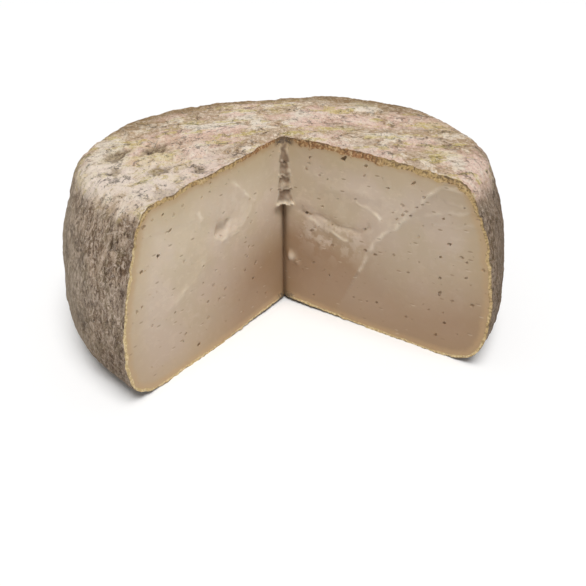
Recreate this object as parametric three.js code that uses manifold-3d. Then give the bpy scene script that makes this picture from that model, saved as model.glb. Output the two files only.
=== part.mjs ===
// Goat tomme: a low pressed wheel with a natural rind, a quarter of it cut away.
// Millimetres, +Z up. The wheel rests on z = 0 and the open quarter faces -Y.
// The origin lies under the middle of the cut wheel's footprint.
import * as THREE from "three";
import { mergeVertices } from "three/addons/utils/BufferGeometryUtils.js";
import Module from "manifold-3d";

const wasm = await Module();
wasm.setup();

// The wheel's meridian, from the dished underside over the sagging side to the domed top.
const WHEEL_RADIUS = 110;
const BELLY_HEIGHT = 22;
const RIM_HEIGHT = 80.2;
const CROWN = 5.8;
const SIDE_TAPER = 16.8;
const SIDE_CURVE = 1.75;
const SHOULDER_DROP = 8;
const SHOULDER_INSET = 7;
const BASE_RING_OUTER = 84;
const BASE_RING_INNER = 58;
const BASE_DISH = 1.6;
const BASE_CORNER_POWER = 3.1;

// The wheel set a little oval and a little higher at its right as it dried.
const OVAL = 0.027;
const LEAN = 0.021;

// The cut: the axis of the wheel, and where the two cuts meet short of it.
const AXIS_Y = -15.9;
const APEX = { x: -1.2, y: -23.5 };
const CUT_HALF_ANGLE = THREE.MathUtils.degToRad(45.6);
const CUT_REACH = 108;
const CUT_LENGTH = 165;
const CUT_BELOW = -6;
const CUT_ABOVE = 98;

// Mesh steps: along the meridian and the rim, and across the cut faces.
const RIND_STEP = 5.5;
const RIM_COLUMNS = 112;
const CUT_STEP = 5;

// Lattice noise between -1 and 1, the same wherever it is worked out.
function lattice(i, j, k) {
  const wave = Math.sin(i * 127.1 + j * 311.7 + k * 74.7) * 43758.5453;
  return 2 * (wave - Math.floor(wave)) - 1;
}

function noise(x, y, z) {
  const [i, j, k] = [Math.floor(x), Math.floor(y), Math.floor(z)];
  const ease = (t) => t * t * (3 - 2 * t);
  const [u, v, w] = [ease(x - i), ease(y - j), ease(z - k)];
  const mix = THREE.MathUtils.lerp;
  const row = (dj, dk) => mix(lattice(i, j + dj, k + dk), lattice(i + 1, j + dj, k + dk), u);
  return mix(mix(row(0, 0), row(1, 0), v), mix(row(0, 1), row(1, 1), v), w);
}

const bump = (distance, width) => Math.exp(-((distance / width) ** 2));
const ramp = (low, high, value) => THREE.MathUtils.smoothstep(value, low, high);

// Distance from a point to a line of short straight stretches; signed, it is negative on the
// line's right-hand side.
function lineDistances(x, y, line) {
  let nearest = Infinity;
  let signed = Infinity;
  for (let i = 1; i < line.length; i += 1) {
    const [ax, ay] = line[i - 1];
    const [bx, by] = line[i];
    const along = ((x - ax) * (bx - ax) + (y - ay) * (by - ay)) / ((bx - ax) ** 2 + (by - ay) ** 2);
    const t = THREE.MathUtils.clamp(along, 0, 1);
    const away = Math.hypot(x - ax - t * (bx - ax), y - ay - t * (by - ay));
    const onLeft = (bx - ax) * (y - ay) - (by - ay) * (x - ax) > 0;
    if (away < nearest) signed = onLeft ? away : -away;
    nearest = Math.min(nearest, away);
  }
  return { nearest, signed };
}

const distanceToLine = (x, y, line) => lineDistances(x, y, line).nearest;

// Height of the domed top and radius of the side.
const domeHeight = (radius) => RIM_HEIGHT + CROWN * (1 - (radius / (WHEEL_RADIUS - SIDE_TAPER)) ** 2);
const sideRadius = (height) =>
  WHEEL_RADIUS - SIDE_TAPER * ((height - BELLY_HEIGHT) / (RIM_HEIGHT - BELLY_HEIGHT)) ** SIDE_CURVE;

// The meridian as evenly spaced [radius, height] points, from the underside's middle to the top's.
function meridian(step) {
  const fine = [];
  const stretch = (count, point) => {
    for (let i = 0; i < count; i += 1) fine.push(point(i / count));
  };
  stretch(60, (t) => [t * BASE_RING_INNER, BASE_DISH * (1 - t * t) ** 2]);
  stretch(30, (t) => [THREE.MathUtils.lerp(BASE_RING_INNER, BASE_RING_OUTER, t), 0]);
  const corner = 2 / BASE_CORNER_POWER;
  stretch(80, (t) => [
    BASE_RING_OUTER + (WHEEL_RADIUS - BASE_RING_OUTER) * Math.sin(t * Math.PI / 2) ** corner,
    BELLY_HEIGHT * (1 - Math.cos(t * Math.PI / 2) ** corner),
  ]);
  const shoulderFoot = RIM_HEIGHT - SHOULDER_DROP;
  stretch(60, (t) => {
    const height = THREE.MathUtils.lerp(BELLY_HEIGHT, shoulderFoot, t);
    return [sideRadius(height), height];
  });
  const rimRadius = WHEEL_RADIUS - SIDE_TAPER;
  const domeEdge = rimRadius - SHOULDER_INSET;
  stretch(30, (t) => [
    (1 - t) ** 2 * sideRadius(shoulderFoot) + 2 * t * (1 - t) * rimRadius + t * t * domeEdge,
    (1 - t) ** 2 * shoulderFoot + 2 * t * (1 - t) * RIM_HEIGHT + t * t * domeHeight(domeEdge),
  ]);
  stretch(91, (t) => [domeEdge * (1 - t * 91 / 90), domeHeight(domeEdge * (1 - t * 91 / 90))]);

  const travelled = [0];
  for (let i = 1; i < fine.length; i += 1) {
    travelled.push(travelled[i - 1] + Math.hypot(fine[i][0] - fine[i - 1][0], fine[i][1] - fine[i - 1][1]));
  }
  const total = travelled.at(-1);
  const count = Math.round(total / step);
  const points = [];
  let i = 1;
  for (let n = 0; n <= count; n += 1) {
    const target = (total * n) / count;
    while (i < fine.length - 1 && travelled[i] < target) i += 1;
    const t = (target - travelled[i - 1]) / (travelled[i] - travelled[i - 1]);
    points.push([
      THREE.MathUtils.lerp(fine[i - 1][0], fine[i][0], t),
      THREE.MathUtils.lerp(fine[i - 1][1], fine[i][1], t),
    ]);
  }
  return points;
}

// Hollows in the top, each a place, half sizes and a depth: three finger dents by the left
// shoulder, the sunken left and back of the dome, and its fuller right, of negative depth.
const DENTS = [
  { x: -59, y: -1, wide: 8, long: 5, depth: 1.8 },
  { x: -73, y: -8, wide: 6, long: 5, depth: 1.6 },
  { x: -52, y: -25, wide: 7, long: 4, depth: 1.1 },
  { x: -36, y: -38, wide: 30, long: 22, depth: 1.3 },
  { x: -5, y: 88, wide: 48, long: 30, depth: 1.2 },
  { x: 38, y: -42, wide: 32, long: 24, depth: -1.4 },
];
// A low fold in the rind that follows the back left of the rim.
const FOLD = [[-78, 20], [-70, 35], [-57, 45], [-40, 52]];
const FOLD_HEIGHT = 1.0;

// How far the rind stands out from the plain wheel at a point of it.
function rindRelief(x, y, z) {
  const lumps = 1.1 * noise(x / 52, y / 52, z / 40) + 0.45 * noise(x / 23, y / 23, z / 19 + 7);
  const pebbles = 0.22 * noise(x / 10.5, y / 10.5, z / 9 + 3);
  const onTop = ramp(70, 80, z);
  let shaped = onTop * FOLD_HEIGHT * bump(distanceToLine(x, y, FOLD), 4);
  for (const dent of DENTS) {
    shaped -= onTop * dent.depth * bump(Math.hypot((x - dent.x) / dent.wide, (y - dent.y) / dent.long), 1);
  }
  return ramp(0, 9, z) * (lumps + pebbles + shaped);
}

// The whole wheel as one closed skin: rings of the meridian, with fewer columns towards the middle.
function wheelGeometry() {
  const rows = meridian(RIND_STEP);
  const positions = [];
  const triangles = [];
  const columnsAt = (radius) => {
    let columns = RIM_COLUMNS;
    for (let limit = WHEEL_RADIUS * 0.6; radius < limit && columns > 7; limit /= 2) columns /= 2;
    return columns;
  };
  const addPoint = (radius, height, normal, angle) => {
    const oval = 1 + OVAL * Math.cos(2 * (angle - Math.PI / 2));
    const x = radius * oval * Math.cos(angle);
    const y = radius * oval * Math.sin(angle);
    const out = rindRelief(x, y, height);
    const px = x + out * normal[0] * Math.cos(angle);
    const py = y + out * normal[0] * Math.sin(angle);
    const pz = (height + out * normal[1]) * (1 + LEAN * px / WHEEL_RADIUS);
    positions.push(px, py + AXIS_Y, pz);
    return positions.length / 3 - 1;
  };
  const rings = rows.map(([radius, height], k) => {
    if (k === 0) return [addPoint(0, height, [0, -1], 0)];
    if (k === rows.length - 1) return [addPoint(0, height, [0, 1], 0)];
    const [r0, z0] = rows[k - 1];
    const [r1, z1] = rows[k + 1];
    const length = Math.hypot(r1 - r0, z1 - z0);
    const normal = [(z1 - z0) / length, (r0 - r1) / length];
    const count = columnsAt(radius);
    const turn = (2 * Math.PI) / count;
    return Array.from({ length: count }, (_, i) => addPoint(radius, height, normal, i * turn));
  });
  for (let k = 1; k < rings.length; k += 1) {
    const low = rings[k - 1];
    const high = rings[k];
    const count = Math.min(low.length, high.length);
    const lowAt = (i) => low[i % low.length];
    const highAt = (i) => high[i % high.length];
    if (low.length === 1) high.forEach((_, i) => triangles.push(low[0], highAt(i + 1), highAt(i)));
    if (high.length === 1) low.forEach((_, i) => triangles.push(lowAt(i), lowAt(i + 1), high[0]));
    for (let i = 0; i < count && count > 1; i += 1) {
      if (low.length === high.length) {
        triangles.push(lowAt(i), lowAt(i + 1), highAt(i), lowAt(i + 1), highAt(i + 1), highAt(i));
      } else if (low.length > high.length) {
        triangles.push(lowAt(2 * i), lowAt(2 * i + 1), highAt(i));
        triangles.push(lowAt(2 * i + 1), highAt(i + 1), highAt(i));
        triangles.push(lowAt(2 * i + 1), lowAt(2 * i + 2), highAt(i + 1));
      } else {
        triangles.push(lowAt(i), highAt(2 * i + 1), highAt(2 * i));
        triangles.push(lowAt(i), lowAt(i + 1), highAt(2 * i + 1));
        triangles.push(lowAt(i + 1), highAt(2 * i + 2), highAt(2 * i + 1));
      }
    }
  }
  return closedGeometry(positions, triangles);
}

function closedGeometry(positions, triangles) {
  const geometry = new THREE.BufferGeometry();
  geometry.setAttribute("position", new THREE.Float32BufferAttribute(positions, 3));
  geometry.setIndex(triangles);
  return geometry;
}

// Where the knife tore the paste: a strip up the corner that steps in and out,
// its lowest lip overhanging the clean corner below.
const TORN_FOOT = 53;
const TORN_LEDGES = [
  { height: 53, reach: 5.2 },
  { height: 60.5, reach: 4.4 },
  { height: 67, reach: 3.9 },
  { height: 73.5, reach: 3.4 },
  { height: 84, reach: 3 },
];
const TORN_UNDERCUT = 1.3;

function tornReach(height) {
  if (height < TORN_FOOT) return 0;
  let k = 0;
  while (k < TORN_LEDGES.length - 2 && height >= TORN_LEDGES[k + 1].height) k += 1;
  const [ledge, above] = [TORN_LEDGES[k], TORN_LEDGES[k + 1]];
  const t = THREE.MathUtils.clamp((height - ledge.height) / (above.height - ledge.height), 0, 1);
  return THREE.MathUtils.lerp(ledge.reach, above.reach - TORN_UNDERCUT, t);
}

// Marks in the two cut faces, as [distance out from the corner, height]: a scar's raised edge and
// a raised streak, then the edge of a lower plane, a wavy crease and a ridge.
const LEFT_SCAR = [[29, 67], [23, 62], [24, 57], [30, 53], [42, 51.5], [47, 52]];
const LEFT_STREAK = [[77, 33.5], [63, 39.5], [56, 45]];
const RIGHT_STEP = [[42, 29], [46, 38], [49, 45], [53, 51], [58, 55], [65, 64], [71, 72], [76, 77]];
const STEP_DEPTH = 0.7;
const STEP_FADES = 14;
const RIGHT_WAVE = [[10, 50.5], [21, 51], [31, 48.5], [41, 48], [45, 52]];
const RIGHT_RIDGE = [[24, 64.5], [30, 66], [46, 66.5], [52, 66.5]];

// How deep a cut face lies behind its flat plane; side is -1 on the left face and 1 on the right.
function cutRelief(side, out, height) {
  const sway = 0.45 * noise(out / 34, height / 30, 5 * side) + 0.22 * noise(out / 13, height / 11, 9 * side);
  if (side < 0) {
    const bowl = 0.9 * bump(Math.hypot((out - 36) / 15, (height - 60) / 9), 1);
    const pit = 1.1 * bump(Math.hypot(out - 43, height - 56.3), 3);
    const recess = 1.2 * bump(Math.hypot(out - 3.5, height - 50.5), 3.2);
    const streak = 0.35 * bump(distanceToLine(out, height, LEFT_STREAK), 2.6);
    const scar = 0.5 * bump(distanceToLine(out, height, LEFT_SCAR), 1.8);
    return sway + bowl + pit + recess - streak - scar;
  }
  const step = lineDistances(out, height, RIGHT_STEP);
  const lower = STEP_DEPTH * (1 - ramp(-1, 1, step.signed)) * bump(step.nearest, STEP_FADES);
  const wave = 0.7 * bump(distanceToLine(out, height, RIGHT_WAVE), 2.4);
  const ridge = 0.5 * bump(distanceToLine(out, height, RIGHT_RIDGE), 3);
  const smeared = bump(Math.hypot((out - 30) / 18, (height - 45) / 12), 1);
  const lumpy = 0.5 * smeared * noise(out / 5, height / 5, 2);
  return sway + lower + wave - ridge + lumpy;
}

const cutDirection = (side) => [side * Math.sin(CUT_HALF_ANGLE), -Math.cos(CUT_HALF_ANGLE)];

// A point of the cut: how far out along its face, and how high; behind says how deep in the paste.
function cutPoint(side, out, height, behind) {
  const [dx, dy] = cutDirection(side);
  return [APEX.x + out * dx + behind * side * -dy, APEX.y + out * dy + behind * side * dx, height];
}

// The open quarter as a closed solid: two wavy walls that meet in the torn corner.
function cutGeometry() {
  const corner = [1.3, 2.6, 3.9, 5.6, 8];
  const outs = [...corner];
  while (outs.at(-1) < CUT_REACH) outs.push(outs.at(-1) + CUT_STEP);
  outs.push(CUT_LENGTH);
  const path = [...outs.toReversed().map((out) => -out), 0, ...outs];
  const heights = [CUT_BELOW];
  while (heights.at(-1) < TORN_FOOT - 4) heights.push(heights.at(-1) + CUT_STEP);
  heights.push(TORN_FOOT - 0.8, TORN_FOOT + 0.4);
  for (let k = 1; k < TORN_LEDGES.length - 1; k += 1) {
    const { height } = TORN_LEDGES[k];
    heights.push((TORN_LEDGES[k - 1].height + height) / 2, height - 0.6, height + 0.5);
  }
  heights.push(78, 82, 86, CUT_ABOVE);

  const positions = [];
  for (const signedOut of path) {
    const side = signedOut < 0 ? -1 : 1;
    const out = Math.abs(signedOut);
    for (const height of heights) {
      const reach = tornReach(height);
      if (out < reach) {
        const left = cutPoint(-1, reach, height, 0);
        const right = cutPoint(1, reach, height, 0);
        const t = (signedOut + reach) / (2 * reach);
        positions.push(...left.map((value, axis) => THREE.MathUtils.lerp(value, right[axis], t)));
      } else {
        const eased = ramp(0, 5, out);
        positions.push(...cutPoint(side, out, height, eased * cutRelief(side, out, height)));
      }
    }
  }
  const rows = heights.length;
  const columns = path.length;
  const at = (column, row) => (column % columns) * rows + row;
  const triangles = [];
  const middle = APEX.y - CUT_LENGTH * 0.5;
  positions.push(APEX.x, middle, CUT_BELOW, APEX.x, middle, CUT_ABOVE);
  const floor = columns * rows;
  for (let column = 0; column < columns; column += 1) {
    triangles.push(floor, at(column, 0), at(column + 1, 0));
    triangles.push(floor + 1, at(column + 1, rows - 1), at(column, rows - 1));
    for (let row = 0; row < rows - 1; row += 1) {
      triangles.push(at(column, row), at(column, row + 1), at(column + 1, row));
      triangles.push(at(column + 1, row), at(column, row + 1), at(column + 1, row + 1));
    }
  }
  return closedGeometry(positions, triangles);
}

// The largest eyes in the paste: side, distance out, height, half width, half height.
const LARGE_EYES = [
  [-1, 80.1, 58.3, 1.6, 1.3], [-1, 89, 55.1, 1.1, 1.1], [-1, 72.7, 66, 1.3, 0.9], [-1, 22.5, 30.7, 1.5, 1],
  [-1, 30.4, 30.2, 1.1, 0.9], [-1, 24.9, 23.4, 1.3, 0.9], [-1, 63.4, 7.5, 1.3, 1], [-1, 70.6, 17.1, 1.2, 0.9],
  [-1, 51.5, 32.3, 1.1, 1], [-1, 48.9, 23.8, 1.2, 0.8], [-1, 94, 40.5, 1, 1.2],
  [1, 31.9, 80.6, 2.6, 1.5], [1, 14.5, 78, 1.3, 0.8], [1, 12.6, 72.2, 1, 1.1], [1, 42.4, 79.5, 1.2, 0.9],
  [1, 64.5, 76.5, 1.5, 1], [1, 69.5, 71.5, 1.3, 1], [1, 60.5, 66, 1.1, 1.2], [1, 12.5, 50.8, 1.4, 0.9],
  [1, 27.5, 38.5, 1.3, 1], [1, 44.8, 40.5, 1.2, 1], [1, 82.5, 54, 1.3, 0.9], [1, 88.5, 49.5, 1.1, 1.1],
  [1, 98, 46.5, 1, 1.3], [1, 96, 29, 1.2, 1.2],
];

// Smaller eyes, one chance in each square of a grid, and kept here where they are wide enough.
const EYE_GRID = 8.5;
const SMALLEST_EYE = 1.02;
function scatteredEyes() {
  const eyes = [];
  for (const side of [-1, 1]) {
    for (let i = 1; i < 11; i += 1) {
      for (let j = 1; j < 9; j += 1) {
        const chance = (salt) => 0.5 + 0.5 * lattice(i + 13 * side, j, salt);
        const size = 0.45 + 0.75 * chance(4) ** 2;
        if (chance(3) < 0.75 && size > SMALLEST_EYE) {
          eyes.push([side, (i + chance(1)) * EYE_GRID, (j + chance(2)) * EYE_GRID, size, size * 0.85]);
        }
      }
    }
  }
  return eyes;
}

// An eye is a squashed ball sunk just behind the cut face.
function eyeGeometry([side, out, height, halfWidth, halfHeight]) {
  const geometry = new THREE.IcosahedronGeometry(1, 0);
  geometry.scale(halfWidth, halfWidth * 1.15, halfHeight);
  geometry.rotateZ(side * CUT_HALF_ANGLE);
  geometry.translate(...cutPoint(side, out, height, cutRelief(side, out, height) + halfWidth * 0.35));
  return geometry;
}

function solid(geometry) {
  const bare = geometry.clone();
  bare.deleteAttribute("normal");
  bare.deleteAttribute("uv");
  const merged = mergeVertices(bare);
  const mesh = new wasm.Mesh({
    numProp: 3,
    vertProperties: new Float32Array(merged.getAttribute("position").array),
    triVerts: new Uint32Array(merged.getIndex().array),
  });
  return new wasm.Manifold(mesh);
}

function geometryOf(body) {
  const mesh = body.getMesh();
  const geometry = closedGeometry(Array.from(mesh.vertProperties), Array.from(mesh.triVerts));
  geometry.computeVertexNormals();
  return geometry;
}

const eyes = [...LARGE_EYES, ...scatteredEyes()];
const opened = eyes.reduce((body, eye) => body.add(solid(eyeGeometry(eye))), solid(cutGeometry()));
const cheese = new THREE.Mesh(
  geometryOf(solid(wheelGeometry()).subtract(opened)),
  new THREE.MeshStandardMaterial({ color: 0xcfb795, roughness: 0.85, metalness: 0 }),
);
cheese.name = "cheese";

const tomme = new THREE.Group();
tomme.add(cheese);

export default tomme;
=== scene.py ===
import math

import bmesh
import bpy
import numpy as np
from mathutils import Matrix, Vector
from mathutils.bvhtree import BVHTree


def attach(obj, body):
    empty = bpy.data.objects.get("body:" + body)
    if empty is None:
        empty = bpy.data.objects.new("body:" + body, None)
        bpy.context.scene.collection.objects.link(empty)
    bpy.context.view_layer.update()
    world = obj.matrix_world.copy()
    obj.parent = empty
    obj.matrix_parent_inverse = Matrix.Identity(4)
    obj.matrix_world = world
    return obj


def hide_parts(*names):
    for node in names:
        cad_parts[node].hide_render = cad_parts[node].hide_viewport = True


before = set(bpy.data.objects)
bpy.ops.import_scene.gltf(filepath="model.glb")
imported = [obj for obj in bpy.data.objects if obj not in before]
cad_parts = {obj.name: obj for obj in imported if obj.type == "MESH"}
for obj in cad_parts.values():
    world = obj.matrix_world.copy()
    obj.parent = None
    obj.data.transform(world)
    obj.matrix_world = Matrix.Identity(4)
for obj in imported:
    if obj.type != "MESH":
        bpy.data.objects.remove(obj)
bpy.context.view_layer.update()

# Everything is worked out in the CAD's millimetres and scaled once, when a mesh is made.
MM = 0.001

# The wheel's meridian, as in the solid.
WHEEL_RADIUS = 110
BELLY_HEIGHT = 22
RIM_HEIGHT = 80.2
CROWN = 5.8
SIDE_TAPER = 16.8
SIDE_CURVE = 1.75
SHOULDER_DROP = 8
SHOULDER_INSET = 7
BASE_RING_OUTER = 84
BASE_RING_INNER = 58
BASE_DISH = 1.6
BASE_CORNER_POWER = 3.1
MERIDIAN_SAMPLES = 80

# The wheel is a little wider from front to back than across, and higher on the right.
OVAL = 0.027
LEAN = 0.021

# The cut.
AXIS_Y = -15.9
APEX = (-1.2, -23.5)
CUT_HALF_ANGLE = math.radians(45.6)
CUT_REACH = 110
CUT_LENGTH = 165
CUT_BELOW = -6
CUT_ABOVE = 98

# Mesh steps of the rind that shows, of the underside, of the cut faces and of the faces near the corner.
RIND_STEP = 1.3
UNDERSIDE_STEP = 3.2
CUT_STEP = 0.72
CORNER_STEP = 0.5
CORNER_ZONE = 5

# The heights between which the cut has its fine rows.
CUT_ROWS = (-1, 90)

# The wheel's rings have this many points at the rim and fewer, by halves, towards the middle.
RIM_COLUMNS = 512
FEWEST_COLUMNS = 8
HALVED_WITHIN = 0.6 * WHEEL_RADIUS


def lattice(i, j, k):
    """A seeded number between -1 and 1 for each crossing of a lattice."""
    wave = np.sin(i * 127.1 + j * 311.7 + k * 74.7) * 43758.5453
    return 2 * (wave - np.floor(wave)) - 1


def noise(x, y, z):
    """Smooth lattice noise between -1 and 1."""
    x, y, z = np.broadcast_arrays(*(np.asarray(value, float) for value in (x, y, z)))
    i, j, k = np.floor(x), np.floor(y), np.floor(z)
    u, v, w = (t * t * (3 - 2 * t) for t in (x - i, y - j, z - k))
    mix = lambda a, b, t: a + (b - a) * t
    row = lambda dj, dk: mix(lattice(i, j + dj, k + dk), lattice(i + 1, j + dj, k + dk), u)
    return mix(mix(row(0, 0), row(1, 0), v), mix(row(0, 1), row(1, 1), v), w)


def cloud(x, y, z, size):
    """Noise with lumps of one size all ways."""
    return noise(x / size, y / size, z / size)


def bump(distance, width):
    """1 at no distance and near 0 beyond the width."""
    return np.exp(-((distance / width) ** 2))


def ramp(low, high, value):
    """0 at low and 1 at high, with a soft way between; high may be the lower one."""
    t = np.clip((value - low) / (high - low), 0, 1)
    return t * t * (3 - 2 * t)


def spot(x, y, place, wide, high):
    """A soft patch: 1 at its place and near 0 beyond its half sizes."""
    return bump(np.hypot((x - place[0]) / wide, (y - place[1]) / high), 1)


def round_spot(x, y, place, size):
    """The same with one size all ways."""
    return bump(np.hypot(x - place[0], y - place[1]), size)


def line_distance(x, y, line):
    """Distance to a line of straight stretches, and the same with a sign: positive on its left."""
    nearest = np.full(np.shape(x), 1e9)
    signed = np.full(np.shape(x), 1e9)
    for (ax, ay), (bx, by) in zip(line, line[1:]):
        dx, dy = bx - ax, by - ay
        t = np.clip(((x - ax) * dx + (y - ay) * dy) / (dx * dx + dy * dy), 0, 1)
        away = np.hypot(x - ax - t * dx, y - ay - t * dy)
        side = np.sign(dx * (y - ay) - dy * (x - ax))
        signed = np.where(away < nearest, side * away, signed)
        nearest = np.minimum(nearest, away)
    return nearest, signed


def band(x, y, line, width):
    """A soft band along a line: 1 on the line and near 0 beyond the width."""
    return bump(line_distance(x, y, line)[0], width)


def oval(angle):
    """How much wider than round the wheel is at an angle."""
    return 1 + OVAL * np.cos(2 * (angle - math.pi / 2))


def lean(x):
    """How much higher than level the wheel is at a place."""
    return 1 + LEAN * x / WHEEL_RADIUS


def dome_height(radius):
    return RIM_HEIGHT + CROWN * (1 - (radius / (WHEEL_RADIUS - SIDE_TAPER)) ** 2)


def side_radius(height):
    share = (height - BELLY_HEIGHT) / (RIM_HEIGHT - BELLY_HEIGHT)
    return WHEEL_RADIUS - SIDE_TAPER * share ** SIDE_CURVE


def fine_meridian():
    """The meridian as closely spaced (radius, height) rows: the underside, and the rind that shows."""
    t = np.linspace(0, 1, MERIDIAN_SAMPLES, endpoint=False)
    dish = np.stack([t * BASE_RING_INNER, BASE_DISH * (1 - t * t) ** 2], 1)
    ring = np.stack([BASE_RING_INNER + t * (BASE_RING_OUTER - BASE_RING_INNER), 0 * t], 1)
    power = 2 / BASE_CORNER_POWER
    corner = np.stack([
        BASE_RING_OUTER + (WHEEL_RADIUS - BASE_RING_OUTER) * np.sin(t * math.pi / 2) ** power,
        BELLY_HEIGHT * (1 - np.cos(t * math.pi / 2) ** power),
    ], 1)
    foot = RIM_HEIGHT - SHOULDER_DROP
    height = BELLY_HEIGHT + t * (foot - BELLY_HEIGHT)
    side = np.stack([side_radius(height), height], 1)
    rim = WHEEL_RADIUS - SIDE_TAPER
    edge = rim - SHOULDER_INSET
    shoulder = np.stack([
        (1 - t) ** 2 * side_radius(foot) + 2 * t * (1 - t) * rim + t * t * edge,
        (1 - t) ** 2 * foot + 2 * t * (1 - t) * RIM_HEIGHT + t * t * dome_height(edge),
    ], 1)
    across = edge * (1 - np.linspace(0, 1, MERIDIAN_SAMPLES))
    dome = np.stack([across, dome_height(across)], 1)
    return np.concatenate([dish, ring, corner[:1]]), np.concatenate([corner, side, shoulder, dome])


def respaced(points, step):
    """The same line with points about one step apart."""
    travelled = np.concatenate([[0], np.cumsum(np.hypot(*np.diff(points, axis=0).T))])
    at = np.linspace(0, travelled[-1], max(2, round(travelled[-1] / step)) + 1)
    return np.stack([np.interp(at, travelled, points[:, 0]), np.interp(at, travelled, points[:, 1])], 1)


# Hollows in the top: place, half sizes and depth, as in the solid.
DENTS = [
    (-59, -1, 8, 5, 1.8), (-73, -8, 6, 5, 1.6), (-52, -25, 7, 4, 1.1),
    (-36, -38, 30, 22, 1.3), (-5, 88, 48, 30, 1.2), (38, -42, 32, 24, -1.4),
]
FOLD = [(-78, 20), (-70, 35), (-57, 45), (-40, 52)]
FOLD_HEIGHT = 1.0
FOLD_WIDTH = 4

# Crisp dark dents near the left of the top: place, half sizes and how dark.
BRUISES = [
    (-74.5, -9.8, 4, 6.5, 1), (-57.4, -6.5, 4.4, 6.5, 1), (-74.7, -27.9, 2.4, 3.6, 0.8),
    (-55.5, -31.1, 4.4, 4, 0.8), (-40.6, -35.6, 2.6, 2.8, 0.9), (-54.1, -55, 4, 3.6, 0.45),
]
BRUISE_SLANT = 0.3
BRUISE_DEPTH = 0.9

# Yellow moulds on the top: a broad patch with its half sizes, and spots with their place and size.
YELLOW_PATCH = (-62, -26)
YELLOW_PATCH_SIZE = (20, 26)
YELLOW_SPOTS = [(77, 6, 9), (62, -37, 6), (3, 40, 5), (52, 45, 7), (-20, 62, 6), (30, -2, 4), (-40, 30, 5)]

# The crust's relief is sunk by this much, so that it stays inside the solid's outline.
CRUST_SUNK = 0.75


def rind_form(x, y, z):
    """The rind's lumps, dents and fold, as in the solid."""
    lumps = 1.1 * noise(x / 52, y / 52, z / 40) + 0.45 * noise(x / 23, y / 23, z / 19 + 7)
    pebbles = 0.22 * noise(x / 10.5, y / 10.5, z / 9 + 3)
    on_top = ramp(70, 80, z)
    shaped = on_top * FOLD_HEIGHT * band(x, y, FOLD, FOLD_WIDTH)
    for at_x, at_y, wide, long, depth in DENTS:
        shaped = shaped - on_top * depth * spot(x, y, (at_x, at_y), wide, long)
    return ramp(0, 9, z) * (lumps + pebbles + shaped)


def bruises(x, y):
    """How much each place of the top belongs to one of the crisp dents, from 0 to 1."""
    near_x = x + 1.3 * noise(x / 2.6, y / 2.6, 5) + 0.5 * noise(x / 1.1, y / 1.1, 6)
    near_y = y + 1.8 * noise(x / 2.6, y / 2.6, 8) + 0.7 * noise(x / 1.1, y / 1.1, 9)
    share = np.zeros(np.shape(x))
    for at_x, at_y, wide, long, dark in BRUISES:
        above = near_y - at_y
        aside = near_x - at_x - BRUISE_SLANT * above
        edge = np.maximum(np.abs(aside) / wide, np.abs(above) / long)
        share = np.maximum(share, dark * ramp(1.15, 0.85, edge))
    return share


def moulds(x, y):
    """How much each place of the top belongs to a yellow mould, from 0 to 1."""
    patchy = 0.5 + 0.5 * noise(x / 4, y / 4, 11) + 0.4 * noise(x / 1.8, y / 1.8, 12)
    share = spot(x, y, YELLOW_PATCH, *YELLOW_PATCH_SIZE)
    for at_x, at_y, size in YELLOW_SPOTS:
        share = np.maximum(share, round_spot(x, y, (at_x, at_y), size))
    return np.clip(patchy, 0, 1) * share


def crust_warp(x, y, z):
    """How far the crust's patterns are pushed about."""
    return 2.5 * noise(x / 9 + 40, y / 9, z / 9)


def plates(x, y, z):
    """Where the crust's flaky plates lie: its steps follow this value's contours."""
    warp = crust_warp(x, y, z)
    broad = 0.75 * noise(x / 13, y / 13 + warp / 13, z / 17 + 11)
    middling = 0.5 * noise(x / 5, (y + warp) / 6, z / 7 + 19)
    small = 0.2 * noise(x / 2, y / 2.4, z / 3 + 37)
    return broad + middling + small


def rind_crust(x, y, z):
    """The crust's own relief below the form: flaky plates, cracks, wrinkles down the side, pits and grit."""
    on_top = ramp(70, 82, z)
    warp = crust_warp(x, y, z)
    plate = plates(x, y, z)
    steps = 0.28 * (ramp(-0.32, -0.24, plate) + ramp(0.05, 0.13, plate) + ramp(0.4, 0.47, plate) - 1.5)
    cracks = -0.4 * bump(noise(x / 16 + warp / 16, y / 16, z / 26 + 5), 0.05)
    down = noise((x + warp) / 3.4, (y - warp) / 3.4, z / 13)
    wrinkles = 0.34 * (1 - on_top) * (0.5 - 1.6 * np.abs(down))
    across = noise(x / 4.2, (y + warp) / 4.2, z / 4.2 + 9)
    ripples = 0.24 * on_top * (0.5 - 1.4 * np.abs(across))
    pits = -0.55 * ramp(0.5, 0.72, noise(x / 2.6, y / 2.6, z / 3.6 + 21))
    grit = 0.16 * noise(x / 1.9, y / 1.9, z / 2.3 + 31)
    return steps + cracks + wrinkles + ripples + pits + grit - BRUISE_DEPTH * on_top * bruises(x, y)


def ring_columns(radius):
    """How many points a ring of the wheel has."""
    columns = RIM_COLUMNS
    limit = HALVED_WITHIN
    while radius < limit and columns > FEWEST_COLUMNS:
        columns //= 2
        limit /= 2
    return columns


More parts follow.
